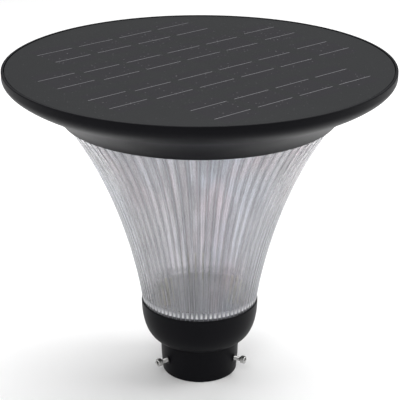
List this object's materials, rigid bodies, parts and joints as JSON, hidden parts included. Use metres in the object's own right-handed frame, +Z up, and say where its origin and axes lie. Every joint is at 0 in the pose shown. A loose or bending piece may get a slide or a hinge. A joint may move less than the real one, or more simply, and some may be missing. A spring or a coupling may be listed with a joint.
{
  "type": "solar street lamp",
  "caption": "Post-top solar street lamp: a round solar disc over a clear fluted trumpet lens, on a cup-shaped base whose socket clamps onto a post with radial screws.",
  "frame": {"origin": "centre of the post socket's bottom face, on the lamp's axis", "axes": "+Z up along the lamp's axis; +Y towards the rear clamp screw and the power button"},
  "size_m": [0.48, 0.48, 0.4135],
  "materials": {
    "black_coat": "satin black powder coat",
    "panel_face": "matt textured front sheet, dark grey",
    "encapsulant": "dark encapsulant",
    "silicon": "monocrystalline silicon",
    "tinned_copper": "tinned ribbon",
    "backsheet": "black backsheet",
    "black_silicone": "matt silicone",
    "black_plastic": "moulded black plastic",
    "wire_sleeve": "silicone wire sleeve",
    "cell_wrap": "heat-shrink wrap",
    "nickel": "nickel strip",
    "stainless": "stainless steel",
    "circuit_board": "solder mask",
    "component_plastic": "moulded components",
    "brass": "machined brass",
    "bare_aluminium": "plain aluminium sheet",
    "white_board": "white solder mask on aluminium",
    "phosphor": "yellow phosphor",
    "white_coat": "white reflective coat",
    "clear_lens": "clear fluted polycarbonate",
    "pale_coat": "light grey coat",
    "bright_nut": "bright plated",
    "nylon": "natural nylon",
    "button_rubber": "moulded rubber cap"
  },
  "bodies": {
    "lamp": {"top_housing": "black_coat", "panel_glass": "panel_face", "panel_encapsulant": "encapsulant", "solar_cells": "silicon", "busbar_ribbons": "tinned_copper", "panel_backsheet": "backsheet", "panel_seal": "black_silicone", "junction_box": "black_plastic", "panel_leads": "wire_sleeve", "battery_cells": "cell_wrap", "battery_holder": "black_plastic", "battery_tabs": "nickel", "battery_straps": "stainless", "battery_leads": "wire_sleeve", "controller_board": "circuit_board", "controller_parts": "component_plastic", "controller_standoffs": "brass", "controller_screws": "stainless", "bulkhead_plate": "bare_aluminium", "bulkhead_screws": "stainless", "cable_grommet": "black_silicone", "led_leads": "wire_sleeve", "led_board": "white_board", "led_chips": "phosphor", "led_screws": "stainless", "light_reflector": "white_coat", "lens_gasket_top": "black_silicone", "lens": "clear_lens", "lens_gasket_bottom": "black_silicone", "base_plate": "pale_coat", "base_studs": "stainless", "base_standoffs": "brass", "base_nuts": "bright_nut", "base_housing": "black_coat", "thread_inserts": "stainless", "switch_body": "black_plastic", "switch_nut": "stainless", "switch_leads": "wire_sleeve", "button_spring": "stainless"},
    "pad_1": {"clamp_pad_1": "nylon"},
    "screw_1": {"clamp_screw_1": "stainless"},
    "pad_2": {"clamp_pad_2": "nylon"},
    "screw_2": {"clamp_screw_2": "stainless"},
    "pad_3": {"clamp_pad_3": "nylon"},
    "screw_3": {"clamp_screw_3": "stainless"},
    "button": {"power_button": "button_rubber"}
  },
  "joints": [
    {"name": "clamp_feed_1", "type": "slide", "parent": "lamp", "child": "pad_1", "axis": [0, -1, 0], "range_m": [0, 0.008]},
    {"name": "clamp_turn_1", "type": "hinge", "parent": "pad_1", "child": "screw_1", "pos_m": [0, 0.0601, 0.022], "axis": [0, -1, 0], "range_deg": [0, 2880]},
    {"name": "clamp_feed_2", "type": "slide", "parent": "lamp", "child": "pad_2", "axis": [0.866, 0.5, 0], "range_m": [0, 0.008]},
    {"name": "clamp_turn_2", "type": "hinge", "parent": "pad_2", "child": "screw_2", "pos_m": [-0.05205, -0.03005, 0.022], "axis": [0.866, 0.5, 0], "range_deg": [0, 2880]},
    {"name": "clamp_feed_3", "type": "slide", "parent": "lamp", "child": "pad_3", "axis": [-0.866, 0.5, 0], "range_m": [0, 0.008]},
    {"name": "clamp_turn_3", "type": "hinge", "parent": "pad_3", "child": "screw_3", "pos_m": [0.05205, -0.03005, 0.022], "axis": [-0.866, 0.5, 0], "range_deg": [0, 2880]},
    {"name": "button_press", "type": "slide", "parent": "lamp", "child": "button", "axis": [0, 0, 1], "range_m": [0, 0.0025], "stiffness_N_per_m": 600, "springref_m": -0.002, "deforming": ["button_spring"]}
  ],
  "couplings": [
    {"joint": "clamp_turn_1", "follows": "clamp_feed_1", "rad_per_m": 6283.2},
    {"joint": "clamp_turn_2", "follows": "clamp_feed_2", "rad_per_m": 6283.2},
    {"joint": "clamp_turn_3", "follows": "clamp_feed_3", "rad_per_m": 6283.2}
  ]
}
